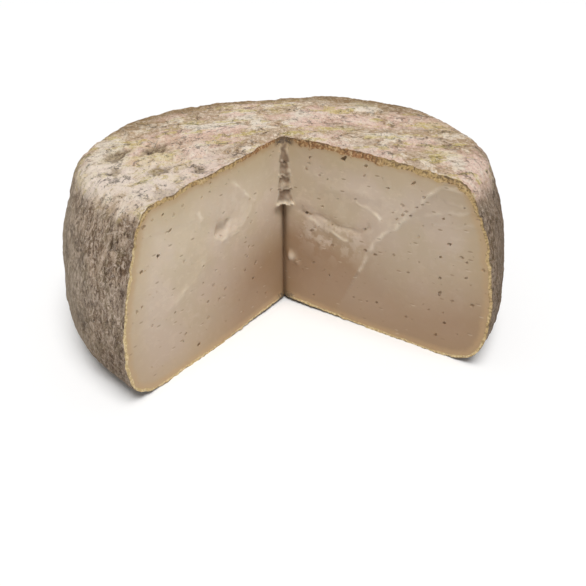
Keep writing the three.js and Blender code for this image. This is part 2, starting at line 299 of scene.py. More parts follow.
def ring_band(low, high):
    """The triangles between two rings. One may be a point, or have twice as many points as the other."""
    lows = lambda n: low[n % len(low)]
    highs = lambda n: high[n % len(high)]
    i = np.arange(min(len(low), len(high)))
    if len(low) == 1:
        i = np.arange(len(high))
        corners = [(lows(i), highs(i + 1), highs(i))]
    elif len(high) == 1:
        i = np.arange(len(low))
        corners = [(lows(i), lows(i + 1), highs(i))]
    elif len(low) == len(high):
        corners = [(lows(i), lows(i + 1), highs(i)), (lows(i + 1), highs(i + 1), highs(i))]
    elif len(low) > len(high):
        corners = [
            (lows(2 * i), lows(2 * i + 1), highs(i)),
            (lows(2 * i + 1), highs(i + 1), highs(i)),
            (lows(2 * i + 1), lows(2 * i + 2), highs(i + 1)),
        ]
    else:
        corners = [
            (lows(i), highs(2 * i + 1), highs(2 * i)),
            (lows(i), lows(i + 1), highs(2 * i + 1)),
            (lows(i + 1), highs(2 * i + 2), highs(2 * i + 1)),
        ]
    return np.concatenate([np.stack(corner, 1) for corner in corners])


def wheel():
    """The whole wheel's skin before the cut, as points and triangles."""
    under, shown = fine_meridian()
    rows = np.concatenate([respaced(under, UNDERSIDE_STEP)[:-1], respaced(shown, RIND_STEP)])
    slope = np.gradient(rows, axis=0)
    slope /= np.hypot(*slope.T)[:, None]
    points, rings = [], []
    total = 0
    for k, (radius, height) in enumerate(rows):
        on_axis = k in (0, len(rows) - 1)
        columns = 1 if on_axis else ring_columns(radius)
        angle = np.arange(columns) / columns * 2 * math.pi
        x, y = radius * oval(angle) * np.cos(angle), radius * oval(angle) * np.sin(angle)
        z = np.full(columns, height)
        out = rind_form(x, y, z) + ramp(0, 5, z) * (rind_crust(x, y, z) - CRUST_SUNK)
        out_r = 0 if on_axis else slope[k][1]
        out_z = -slope[k][0]
        px, py = x + out * out_r * np.cos(angle), y + out * out_r * np.sin(angle)
        pz = (z + out * out_z) * lean(px)
        points.append(np.stack([px, py + AXIS_Y, pz], 1))
        rings.append(total + np.arange(columns))
        total += columns
    bands = [ring_band(low, high) for low, high in zip(rings, rings[1:])]
    return np.concatenate(points), np.concatenate(bands)


# The torn strip up the corner: where each ledge lies and how far it reaches along the faces.
TORN_FOOT = 53
TORN_LEDGES = [(53, 5.2), (60.5, 4.4), (67, 3.9), (73.5, 3.4), (84, 3)]
TORN_UNDERCUT = 1.3


def torn_reach(height):
    """How far the torn strip reaches along the faces, and 0 below it."""
    reach = np.zeros(np.shape(height))
    for (low, wide), (high, wide_above) in zip(TORN_LEDGES, TORN_LEDGES[1:]):
        t = np.clip((height - low) / (high - low), 0, 1)
        reach = np.where(height >= low, wide + t * (wide_above - TORN_UNDERCUT - wide), reach)
    return reach


# Marks of the two cut faces, as (distance out from the corner, height), as in the solid.
LEFT_SCAR = [(29, 67), (23, 62), (24, 57), (30, 53), (42, 51.5), (47, 52)]
LEFT_STREAK = [(77, 33.5), (63, 39.5), (56, 45)]
LEFT_BOWL = (36, 60)
LEFT_PIT = (43, 56.3)
LEFT_RECESS = (3.5, 50.5)
RIGHT_STEP = [(42, 29), (46, 38), (49, 45), (53, 51), (58, 55), (65, 64), (71, 72), (76, 77)]
STEP_DEPTH = 0.7
STEP_FADES = 14
RIGHT_WAVE = [(10, 50.5), (21, 51), (31, 48.5), (41, 48), (45, 52)]
RIGHT_RIDGE = [(24, 64.5), (30, 66), (46, 66.5), (52, 66.5)]
RIGHT_LUMPS = (30, 45)

# Finer marks that the solid hasn't: smears of paste that stand up, and small folds.
LEFT_SMEARS = [
    [(36, 74.5), (31.7, 70), (28.1, 67.3)], [(27.5, 65.8), (21.7, 61.3)], [(36.5, 66), (33.5, 65.5)],
    [(56.4, 67.5), (55.8, 63.5)], [(48.6, 54.3), (44, 50.8), (39, 49.9), (33.5, 51)],
]
LEFT_FOLD = [(87, 67.5), (80, 67), (68.3, 66), (59, 64.5), (46, 59.5)]
RIGHT_SMEARS = [
    [(13.5, 48.6), (20, 47.2), (27.9, 45), (35.5, 42.4)], [(38.7, 63), (44.6, 60.4), (51, 57.5)],
    [(76, 77), (84, 76.8), (90, 75.6)],
]
RIGHT_BRANCH = [(62, 60), (72, 64), (82, 67), (93, 71)]
RIGHT_CREASES = [[(74, 60), (84, 62), (94, 64)], [(80, 71.5), (88, 71), (96, 69)]]

# The left scar is drawn flatter than the solid's, with a slanted dent and a nodule on it.
SCAR_WIDTH = 1.8
SCAR_FLATTER = 0.28
LEFT_DENT = (42.6, 56)
LEFT_DENT_SIZE = (4.2, 2.6)
LEFT_DENT_SLANT = 0.6
LEFT_DENT_DEPTH = 1.5
LEFT_NODULE = (35.3, 52.4)

# Crumbs low in the right face's corner, and the pale smear over the larger one, with its painted highlight.
LARGE_CRUMB = (3.6, 26.3)
SMALL_CRUMB = (8, 23.8)
CRUMB_SMEAR = (4, 26.3)

# Where the faces are torn rather than cut.
LEFT_TORN = (37, 62)
RIGHT_TORN = (26, 43)

# Below the torn strip the knife went a little past the corner.
SLIT_DEPTH = 1.1
SLIT_WIDTH = 0.9


def slit(out, height):
    """How far the corner runs on behind where the two faces would meet."""
    ragged = 1 + 0.35 * noise(height / 3, height / 9, 53)
    return SLIT_DEPTH * ragged * bump(out, SLIT_WIDTH) * ramp(TORN_FOOT, TORN_FOOT - 1.5, height)


def cut_form(side, out, height):
    """How deep a cut face lies behind its flat plane, as in the solid."""
    sway = 0.45 * noise(out / 34, height / 30, 5 * side) + 0.22 * noise(out / 13, height / 11, 9 * side)
    if side < 0:
        bowl = 0.9 * spot(out, height, LEFT_BOWL, 15, 9)
        pit = 1.1 * round_spot(out, height, LEFT_PIT, 3)
        recess = 1.2 * round_spot(out, height, LEFT_RECESS, 3.2)
        streak = 0.35 * band(out, height, LEFT_STREAK, 2.6)
        scar = 0.5 * band(out, height, LEFT_SCAR, SCAR_WIDTH)
        return sway + bowl + pit + recess - streak - scar
    near, signed = line_distance(out, height, RIGHT_STEP)
    lower = STEP_DEPTH * ramp(1, -1, signed) * bump(near, STEP_FADES)
    wave = 0.7 * band(out, height, RIGHT_WAVE, 2.4)
    ridge = 0.5 * band(out, height, RIGHT_RIDGE, 3)
    lumpy = 0.5 * spot(out, height, RIGHT_LUMPS, 18, 12) * noise(out / 5, height / 5, 2)
    return sway + lower + wave - ridge + lumpy


def wandering(out, height, amount):
    """The same places pushed about a little, so that a line drawn there is ragged."""
    aside = amount * (noise(out / 4.5, height / 4.5, 61) + 0.5 * noise(out / 1.7, height / 1.7, 67))
    above = amount * (noise(out / 4.5, height / 4.5, 71) + 0.5 * noise(out / 1.7, height / 1.7, 73))
    return out + aside, height + above


def smears(side, out, height):
    """Ragged crests of paste on a cut face, from 0 to 1."""
    there = wandering(out, height, 0.8)
    patchy = np.clip(0.65 + 0.7 * noise(out / 3.3, height / 3.3, 79), 0, 1)
    crests = [(1, line, 0.75) for line in (LEFT_SMEARS if side < 0 else RIGHT_SMEARS)]
    if side < 0:
        crests += [(0.35, LEFT_SCAR, 0.6), (0.55, LEFT_STREAK, 1.1)]
    else:
        crests += [(1, RIGHT_STEP, 0.65), (0.5, RIGHT_BRANCH, 0.7)]
        crests += [(0.3, crease, 0.6) for crease in RIGHT_CREASES]
    share = np.zeros(np.broadcast(out, height).shape)
    for strength, line, width in crests:
        share = np.maximum(share, strength * band(*there, line, width))
    if side > 0:
        share = np.maximum(share, 0.9 * round_spot(out, height, CRUMB_SMEAR, 2.4))
    return share * patchy


def roughness(side, out, height):
    """How much a place of a cut face is torn rather than cut, from 0 to 1."""
    if side < 0:
        return 0.6 * spot(out, height, LEFT_TORN, 15, 10)
    return spot(out, height, RIGHT_TORN, 17, 9)


def left_folds(out, height):
    """The small folds and dents of the left face, as depth behind it."""
    near, signed = line_distance(*wandering(out, height, 0.7), LEFT_FOLD)
    folds = 0.22 * ramp(-0.9, 0.9, signed) * bump(near, 7)
    folds = folds + SCAR_FLATTER * band(out, height, LEFT_SCAR, SCAR_WIDTH)
    above = height - LEFT_DENT[1]
    aside = out - LEFT_DENT[0] + LEFT_DENT_SLANT * above
    edge = np.maximum(np.abs(aside) / LEFT_DENT_SIZE[0], np.abs(above) / LEFT_DENT_SIZE[1])
    folds = folds + LEFT_DENT_DEPTH * ramp(1.1, 0.75, edge)
    return folds - 0.7 * round_spot(out, height, LEFT_NODULE, 1.3)


def right_folds(out, height):
    """The small folds, creases and crumbs of the right face, as depth behind it."""
    there = wandering(out, height, 0.7)
    near, signed = line_distance(*there, RIGHT_WAVE)
    folds = 0.6 * bump(signed - 0.3, 1.0) * bump(near, 6) - 0.35 * bump(signed + 1.9, 1.3) * bump(near, 6)
    near, signed = line_distance(*there, RIGHT_BRANCH)
    folds = folds + 0.3 * ramp(0.8, -0.8, signed) * bump(near, 8)
    for crease in RIGHT_CREASES:
        near, signed = line_distance(*there, crease)
        folds = folds + 0.25 * ramp(0.6, -0.6, signed) * bump(near, 4)
    crumbs = 1.9 * round_spot(out, height, LARGE_CRUMB, 2.1) + 1.0 * round_spot(out, height, SMALL_CRUMB, 1.3)
    return folds - crumbs


def cut_finish(side, out, height, rind_depth):
    """The finer marks on a cut face: knife lines, small folds, torn paste and the crust's crumbs."""
    fine = 0.04 * noise(out / 2.6, height / 2.2, 17 * side)
    across = height + 0.5 * side * out
    knife = 0.06 * noise((out - 0.7 * side * height) / 26, across / 3.4, 23 * side)
    crumbly = 0.45 * noise(out / 1.5, height / 1.5, 29) + 0.2 * noise(out / 3, height / 3, 31)
    crumbs = bump(rind_depth, 1.7) * crumbly
    uneven = 0.22 * noise(out / 2.8, height / 2.4, 37) + 0.14 * noise(out / 1.5, height / 1.4, 41)
    torn = roughness(side, out, height) * uneven
    folds = left_folds(out, height) if side < 0 else right_folds(out, height)
    return fine + knife + crumbs + torn + folds - 0.42 * smears(side, out, height)


def cut_direction(side):
    """The way out from the corner along a face: -1 is the left face and 1 the right one."""
    return side * math.sin(CUT_HALF_ANGLE), -math.cos(CUT_HALF_ANGLE)


def cut_point(side, out, height, behind):
    """A place on a cut face, or so far behind it."""
    dx, dy = cut_direction(side)
    x = APEX[0] + out * dx - behind * side * dy
    y = APEX[1] + out * dy + behind * side * dx
    return np.stack([x, y, np.broadcast_to(height, np.shape(x))], -1)


def plain_depth(x, y, z):
    """Roughly how far a point of the paste lies under the plain wheel's skin."""
    z = z / lean(x)
    y = y - AXIS_Y
    radius = np.hypot(x, y) / oval(np.arctan2(y, x))
    skin = respaced(np.concatenate(fine_meridian()), 2)
    return line_distance(radius, z, skin)[0]


def torn_strip(signed, height):
    """The strip that tears across the corner: its points, and how far it reaches along each face."""
    tilt = height + 0.9 * noise(signed / 2.4, height / 7, 59)
    ragged = ramp(TORN_FOOT, TORN_FOOT + 1, tilt) * 0.7 * noise(height / 2.1, height / 5, 43)
    reach = torn_reach(tilt) + ragged
    share = np.clip((signed + reach) / (2 * np.maximum(reach, 1e-6)), 0, 1)[..., None]
    strip = cut_point(-1, reach, height, 0) * (1 - share) + cut_point(1, reach, height, 0) * share
    strip[..., 1] += 0.5 * noise(signed / 1.5, height / 1.5, 47) + 0.5 * noise(signed / 3.1, height / 2.6, 61)
    return strip, reach


def cutter():
    """The open quarter as a closed solid."""
    near_corner = np.arange(CORNER_STEP, CORNER_ZONE + 0.2, CORNER_STEP)
    outs = np.concatenate([near_corner, np.arange(CORNER_ZONE + CUT_STEP, CUT_REACH, CUT_STEP), [CUT_LENGTH]])
    heights = np.concatenate([[CUT_BELOW], np.arange(*CUT_ROWS, CUT_STEP), [CUT_ABOVE]])
    signed, height = np.meshgrid(np.concatenate([-outs[::-1], [0], outs]), heights, indexing="ij")
    out = np.abs(signed)
    faces = []
    for side in (-1, 1):
        flat = cut_point(side, out, height, 0)
        depth = plain_depth(flat[..., 0], flat[..., 1], flat[..., 2])
        relief = cut_form(side, out, height) + cut_finish(side, out, height, depth)
        faces.append(cut_point(side, out, height, ramp(0, CORNER_ZONE, out) * relief))
    points = np.where((signed < 0)[..., None], *faces)
    points[..., 1] += slit(out, height)
    strip, reach = torn_strip(signed, height)
    points = np.where((out < reach)[..., None], strip, points)

    columns, rows = signed.shape
    here = np.arange(columns * rows).reshape(columns, rows)
    there = np.roll(here, -1, axis=0)
    low_end, high_end = columns * rows, columns * rows + 1
    triangles = [
        np.stack([here[:, :-1], here[:, 1:], there[:, :-1]], -1).reshape(-1, 3),
        np.stack([there[:, :-1], here[:, 1:], there[:, 1:]], -1).reshape(-1, 3),
        np.stack([np.full(columns, low_end), here[:, 0], there[:, 0]], 1),
        np.stack([np.full(columns, high_end), there[:, -1], here[:, -1]], 1),
    ]
    middle = APEX[1] - CUT_LENGTH * 0.5
    ends = np.array([[APEX[0], middle, CUT_BELOW], [APEX[0], middle, CUT_ABOVE]])
    return np.concatenate([points.reshape(-1, 3), ends]), np.concatenate(triangles)


# The largest eyes, at the solid's places: side, distance out, height, half width, half height.
LARGE_EYES = [
    (-1, 80.1, 58.3, 1.6, 1.3), (-1, 89, 55.1, 1.1, 1.1), (-1, 72.7, 66, 1.3, 0.9),
    (-1, 22.5, 30.7, 1.5, 1), (-1, 30.4, 30.2, 1.1, 0.9), (-1, 24.9, 23.4, 1.3, 0.9),
    (-1, 63.4, 7.5, 1.3, 1), (-1, 70.6, 17.1, 1.2, 0.9), (-1, 51.5, 32.3, 1.1, 1),
    (-1, 48.9, 23.8, 1.2, 0.8), (-1, 94, 40.5, 1, 1.2),
    (1, 31.9, 80.6, 2.6, 1.5), (1, 14.5, 78, 1.3, 0.8), (1, 12.6, 72.2, 1, 1.1), (1, 42.4, 79.5, 1.2, 0.9),
    (1, 64.5, 76.5, 1.5, 1), (1, 69.5, 71.5, 1.3, 1), (1, 60.5, 66, 1.1, 1.2), (1, 12.5, 50.8, 1.4, 0.9),
    (1, 27.5, 38.5, 1.3, 1), (1, 44.8, 40.5, 1.2, 1), (1, 82.5, 54, 1.3, 0.9), (1, 88.5, 49.5, 1.1, 1.1),
    (1, 98, 46.5, 1, 1.3), (1, 96, 29, 1.2, 1.2),
]

# Small eyes with a place of their own: side, distance out, height. They share their half sizes.
SMALL_EYES = [
    (-1, 49, 77.8), (-1, 54.4, 73.6), (-1, 65, 73.6), (-1, 75.7, 73.6), (-1, 70.2, 71.4), (-1, 26.8, 40.8),
    (-1, 41.4, 62.3), (-1, 26.5, 54.6), (-1, 57.2, 44), (-1, 67.2, 50.6), (-1, 9.3, 78.4),
    (1, 19.6, 70.7), (1, 42, 75.2), (1, 53.5, 72.1), (1, 21.5, 56.3), (1, 15.6, 42.8), (1, 61, 61.8),
    (1, 68.9, 53.5), (1, 79.8, 47.3), (1, 66.3, 35.8), (1, 91.7, 41), (1, 81.5, 29.4),
    (1, 62.4, 63.6), (1, 64.4, 62), (1, 66.8, 66.4), (1, 69, 68.1), (1, 58.6, 59.2),
]
SMALL_EYE = (0.95, 0.75)

# Grids of scattered eyes and of pinholes, with one chance of an eye in each square. An eye's half
# width is the least one and up to so much more, and its half height is the flat share of that.
EYE_GRIDS = [
    {"columns": (1, 11), "rows": (1, 9), "pitch": (8.5, 8.5), "likely": 0.55,
     "least": 0.45, "more": 0.75, "power": 2, "flat": 0.85, "seed": 13, "salt": 0},
    {"columns": (2, 19), "rows": (1, 17), "pitch": (5.3, 5.1), "likely": 0.3,
     "least": 0.26, "more": 0.26, "power": 1, "flat": 0.8, "seed": 29, "salt": 10},
]

# From these half widths on, an eye is a large or a middling one, with a finer ball.
LARGE_EYE = 1.5
MIDDLING_EYE = 0.6
LARGE_EYE_SHAPE = (0.56, 0.9, 0.6)
OTHER_EYE_SHAPE = (0.85, 0.6, 0.8)
EYE_TILT = math.radians(32)


def scattered_eyes():
    """The small eyes with a place of their own, and one chance of an eye in each square of the grids."""
    found = [(side, out, height, *SMALL_EYE) for side, out, height in SMALL_EYES]
    for side in (-1, 1):
        for grid in EYE_GRIDS:
            for i in range(*grid["columns"]):
                for j in range(*grid["rows"]):
                    found.extend(eye_in_square(side, grid, i, j))
    return found


def eye_in_square(side, grid, i, j):
    """A list with the eye of one square, or an empty one."""
    chances = (lattice(i + grid["seed"] * side, j, grid["salt"] + n) for n in (1, 2, 3, 4))
    across, up, luck, size = (0.5 + 0.5 * float(chance) for chance in chances)
    if luck >= grid["likely"]:
        return []
    wide = grid["least"] + grid["more"] * size ** grid["power"]
    pitch_out, pitch_up = grid["pitch"]
    return [(side, (i + across) * pitch_out, (j + up) * pitch_up, wide, wide * grid["flat"])]


def sphere(subdivisions):
    """A unit ball of triangles."""
    ball = bmesh.new()
    bmesh.ops.create_icosphere(ball, subdivisions=subdivisions, radius=1)
    points = np.array([vertex.co[:] for vertex in ball.verts])
    triangles = np.array([[vertex.index for vertex in face.verts] for face in ball.faces])
    ball.free()
    return points, triangles


def eyes():
    """All the eyes as balls pressed out of round, sunk just behind the cut faces."""
    balls = {level: sphere(level) for level in (1, 2, 3)}
    turn = np.array([[math.cos(EYE_TILT), math.sin(EYE_TILT)], [-math.sin(EYE_TILT), math.cos(EYE_TILT)]])
    points, triangles, total = [], [], 0
    for n, (side, out, height, wide, high) in enumerate(LARGE_EYES + scattered_eyes()):
        ball, faces = balls[3 if wide > LARGE_EYE else 2 if wide > MIDDLING_EYE else 1]
        shape = LARGE_EYE_SHAPE if wide > LARGE_EYE else OTHER_EYE_SHAPE
        lumpy = 1 + 0.45 * noise(ball[:, 0] * 1.4 + 7 * n, ball[:, 1] * 1.4, ball[:, 2] * 1.4)
        local = ball * lumpy[:, None] * np.array(shape) * np.array([wide, wide, high])
        local[:, [0, 2]] = (local[:, [0, 2]] * np.array([1, side])) @ turn * np.array([1, side])
        dx, dy = cut_direction(side)
        behind = float(cut_form(side, out, height)) + float(cut_finish(side, out, height, 9))
        centre = cut_point(side, np.array(out), np.array(height), behind)
        turned = np.stack([
            local[:, 0] * dx - local[:, 1] * side * dy,
            local[:, 0] * dy + local[:, 1] * side * dx,
            local[:, 2],
        ], 1)
        points.append(turned + centre)
        triangles.append((faces if side > 0 else faces[:, ::-1]) + total)
        total += len(ball)
    return np.concatenate(points), np.concatenate(triangles)


def mesh_object(name, points, triangles, material):
    mesh = bpy.data.meshes.new(name)
    mesh.from_pydata((points * MM).tolist(), [], triangles.tolist())
    mesh.validate()
    mesh.materials.append(material)
    piece = bpy.data.objects.new(name, mesh)
    bpy.context.scene.collection.objects.link(piece)
    return piece


def signed_volume(points, triangles):
    a, b, c = (points[triangles[:, n]] for n in range(3))
    return float(np.einsum("ij,ij->i", a, np.cross(b, c)).sum() / 6)


def outward(points, triangles):
    """The triangles, turned round if they point inwards."""
    return triangles if signed_volume(points, triangles) > 0 else triangles[:, ::-1]


def subtract(piece, tool):
    """Cuts tool out of piece for good, and removes tool."""
    modifier = piece.modifiers.new("cut", "BOOLEAN")
    modifier.operation = "DIFFERENCE"
    modifier.solver = "MANIFOLD"
    modifier.material_mode = "TRANSFER"
    modifier.object = tool
    depsgraph = bpy.context.evaluated_depsgraph_get()
    result = bpy.data.meshes.new_from_object(piece.evaluated_get(depsgraph), depsgraph=depsgraph)
    piece.modifiers.clear()
    old = piece.data
    piece.data = result
    bpy.data.meshes.remove(old)
    bpy.data.objects.remove(tool)


class Nodes:
    """A short way to write a material's node tree."""

    def __init__(self, name):
        self.material = bpy.data.materials.new(name)
        self.material.use_nodes = True
        self.tree = self.material.node_tree
        self.tree.nodes.clear()
        self.place = self.add("ShaderNodeTexCoord").outputs["Object"]

    def add(self, kind, settings=None, **inputs):
        """A new node. An input is named by its socket's name, or by its number, as in i0."""
        node = self.tree.nodes.new(kind)
        for key, value in (settings or {}).items():
            setattr(node, key, value)
        for key, value in inputs.items():
            by_number = key[0] == "i" and key[1:].isdigit()
            socket = node.inputs[int(key[1:]) if by_number else key.replace("_", " ")]
            if isinstance(value, bpy.types.NodeSocket):
                self.tree.links.new(value, socket)
            else:
                socket.default_value = value
        return node

    def attribute(self, name):
        return self.add("ShaderNodeAttribute", {"attribute_name": name}).outputs["Fac"]

    def stretched(self, x, y, z):
        """The place on the piece, in millimetres divided by x, y and z."""
        scale = (1 / (MM * x), 1 / (MM * y), 1 / (MM * z))
        return self.add("ShaderNodeMapping", Vector=self.place, Scale=scale).outputs["Vector"]

    def noise(self, vector, scale, detail, roughness=0.55, distortion=0.0):
        node = self.add("ShaderNodeTexNoise", Vector=vector, Scale=scale, Detail=detail,
                        Roughness=roughness, Distortion=distortion)
        return node.outputs["Fac"]

    def vector(self, operation, **inputs):
        return self.add("ShaderNodeVectorMath", {"operation": operation}, **inputs).outputs[0]

    def cracks(self, vector, scale, bent):
        """Near 0 along the ragged edges of crazed plates."""
        push = self.add("ShaderNodeTexNoise", Vector=vector, Scale=scale * 2, Detail=4.0, Roughness=0.7)
        moved = self.vector("SCALE", i0=push.outputs["Color"], Scale=bent / scale)
        place = self.vector("ADD", i0=vector, i1=moved)
        edges = self.add("ShaderNodeTexVoronoi", {"feature": "DISTANCE_TO_EDGE"}, Vector=place, Scale=scale)
        return edges.outputs["Distance"]

    def dots(self, vector, scale):
        """Near 0 at scattered points."""
        return self.add("ShaderNodeTexVoronoi", Vector=vector, Scale=scale).outputs["Distance"]

    def math(self, operation, a, b):
        return self.add("ShaderNodeMath", {"operation": operation}, i0=a, i1=b).outputs[0]

    def plus(self, a, b):
        return self.math("ADD", a, b)

    def times(self, a, b):
        return self.math("MULTIPLY", a, b)

    def step(self, value, low, high):
        """0 below low and 1 above high, with a soft way between; high may be the lower one."""
        node = self.add("ShaderNodeMapRange", {"interpolation_type": "SMOOTHSTEP"}, Value=value)
        ends = (low, high, 0.0, 1.0) if low <= high else (high, low, 1.0, 0.0)
        for key, number in zip(("From Min", "From Max", "To Min", "To Max"), ends):
            node.inputs[key].default_value = number
        return node.outputs["Result"]

    def between(self, share, a, b):
        return self.add("ShaderNodeMix", {"data_type": "FLOAT"}, i0=share, i2=a, i3=b).outputs[0]

    def mix(self, share, a, b):
        """Two colours, each a socket or an (r, g, b) of the usual 0 to 255."""
        node = self.add("ShaderNodeMix", {"data_type": "RGBA"}, i0=share)
        for key, value in ((6, a), (7, b)):
            if isinstance(value, bpy.types.NodeSocket):
                self.tree.links.new(value, node.inputs[key])
            else:
                node.inputs[key].default_value = linear(value)
        return node.outputs[2]

    def stain(self, colour, share, strength, tint):
        """The colour, turned towards the tint by a share that varies over the piece, times a strength."""
        return self.mix(self.times(share, strength), colour, tint)

    def finish(self, colour, roughness, height, reach, **settings):
        bumpy = self.add("ShaderNodeBump", Height=height, Distance=reach * MM, Strength=1.0)
        shader = self.add("ShaderNodeBsdfPrincipled", Base_Color=colour, Roughness=roughness,
                          Normal=bumpy.outputs["Normal"])
        for key, value in settings.items():
            shader.inputs[key.replace("_", " ")].default_value = value
        out = self.add("ShaderNodeOutputMaterial")
        self.tree.links.new(shader.outputs[0], out.inputs["Surface"])
        return self.material


def linear(colour):
    """A colour of 0 to 255 as Blender's linear one."""
    share = np.asarray(colour, float) / 255
    value = np.where(share <= 0.04045, share / 12.92, ((share + 0.055) / 1.055) ** 2.4)
    return (*value.tolist(), 1.0)


def rind_material():
    """Dry natural rind: pale bloom over a grey-brown crust, stained olive and ochre, dark in its cracks."""
    m = Nodes("rind")
    side = m.attribute("side")
    shoulder = m.attribute("shoulder")
    rim = m.attribute("rim")
    plate = m.attribute("plate")
    even = m.stretched(1, 1, 1)
    broad = m.noise(even, 1 / 30, 3, 0.6)
    patches = m.noise(even, 1 / 7, 8, 0.75, 1.0)
    flakes = m.noise(even, 1 / 3.2, 6, 0.75, 0.6)
    olive = m.noise(m.stretched(1.8, 1, 1), 1 / 12, 7, 0.7)
    mottle = m.noise(m.stretched(1, 1, 1.9), 1 / 5, 8, 0.75, 0.5)
    speck = m.noise(even, 1 / 0.9, 3, 0.7)
    over_top = m.noise(m.stretched(1.1, 1.5, 1), 1 / 1.9, 6, 0.8, 0.4)
    down_side = m.noise(m.stretched(1, 1, 1.7), 1 / 1.7, 6, 0.8, 0.7)
    strokes = m.between(side, over_top, down_side)
    veins = m.cracks(m.stretched(1, 1, 1.6), 1 / 5.5, 1.6)
    broken = m.step(m.noise(even, 1 / 8, 5, 0.7), 0.5, 0.58)
    crack = m.times(m.step(veins, 0.06, 0.015), broken)
    # The dark strokes fade where the shoulder's painted highlight lies.
    darker = m.times(m.plus(m.times(side, 0.5), 0.36), m.step(shoulder, 1.4, 0.2))

    # The bloom of the top.
    bloom = m.mix(m.step(patches, 0.43, 0.53), (220, 191, 156), (255, 238, 214))
    bloom = m.stain(bloom, m.attribute("pallid"), 0.6, (255, 235, 216))
    bloom = m.stain(bloom, m.step(plate, 0.53, 0.5), 0.7, (188, 155, 120))
    bloom = m.stain(bloom, m.step(plate, 0.6, 0.63), 0.75, (255, 243, 226))
    bloom = m.stain(bloom, m.step(flakes, 0.48, 0.43), 0.6, (178, 147, 116))
    bloom = m.stain(bloom, m.step(broad, 0.47, 0.55), 0.7, (246, 207, 190))
    bloom = m.stain(bloom, m.step(olive, 0.54, 0.58), 0.7, (222, 202, 124))
    bloom = m.stain(bloom, m.step(olive, 0.41, 0.36), 0.6, (190, 162, 132))
    bloom = m.stain(bloom, m.attribute("gild"), 0.9, (226, 209, 138))
    bloom = m.stain(bloom, rim, m.step(mottle, 0.3, 0.5), (150, 120, 84))

    # The crust of the side.
    crust = m.mix(m.step(mottle, 0.44, 0.54), (130, 106, 83), (187, 163, 139))
    crust = m.stain(crust, m.step(broad, 0.5, 0.6), 0.6, (170, 152, 134))
    crust = m.stain(crust, m.step(patches, 0.5, 0.44), 0.6, (134, 117, 88))

    # Both, with what lies over them: strokes of bloom, dark hollows, cracks and specks.
    umber = m.mix(side, (132, 102, 74), (82, 60, 48))
    chalk = m.mix(side, (252, 236, 216), (228, 207, 188))
    pitted = m.mix(m.step(strokes, 0.46, 0.54), (114, 94, 70), (180, 158, 124))
    skin = m.mix(side, bloom, crust)
    # Pale bloom with a painted highlight along the shoulder.
    skin = m.stain(skin, shoulder, m.step(patches, 0.4, 0.52), (255, 236, 222))
    skin = m.stain(skin, m.step(strokes, 0.51, 0.57), 0.68, chalk)
    skin = m.stain(skin, m.step(strokes, 0.46, 0.4), darker, umber)
    skin = m.stain(skin, m.attribute("hollow"), m.times(darker, 0.75), umber)
    skin = m.stain(skin, m.attribute("bruise"), 0.78, pitted)
    skin = m.stain(skin, crack, 0.7, (80, 62, 49))
    skin = m.stain(skin, m.step(speck, 0.39, 0.33), 0.75, (70, 54, 43))
    skin = m.stain(skin, m.step(speck, 0.62, 0.67), 0.6, (246, 232, 218))
    skin = m.stain(skin, rim, 0.45, (160, 132, 90))
    # Painted shade to the right of the wheel and at its foot.
    skin = m.stain(skin, m.attribute("painted_right_and_foot_shade"), 0.6, (98, 78, 55))
    skin = m.stain(skin, m.attribute("haze"), 0.5, (178, 163, 142))

    height = m.plus(m.times(strokes, 1.1), m.times(mottle, 0.9))
    height = m.plus(height, m.times(speck, 0.45))
    height = m.math("SUBTRACT", height, m.times(crack, 0.35))
    return m.finish(skin, m.step(strokes, -0.6, 0.9), height, 1.3, Specular_IOR_Level=0.2)


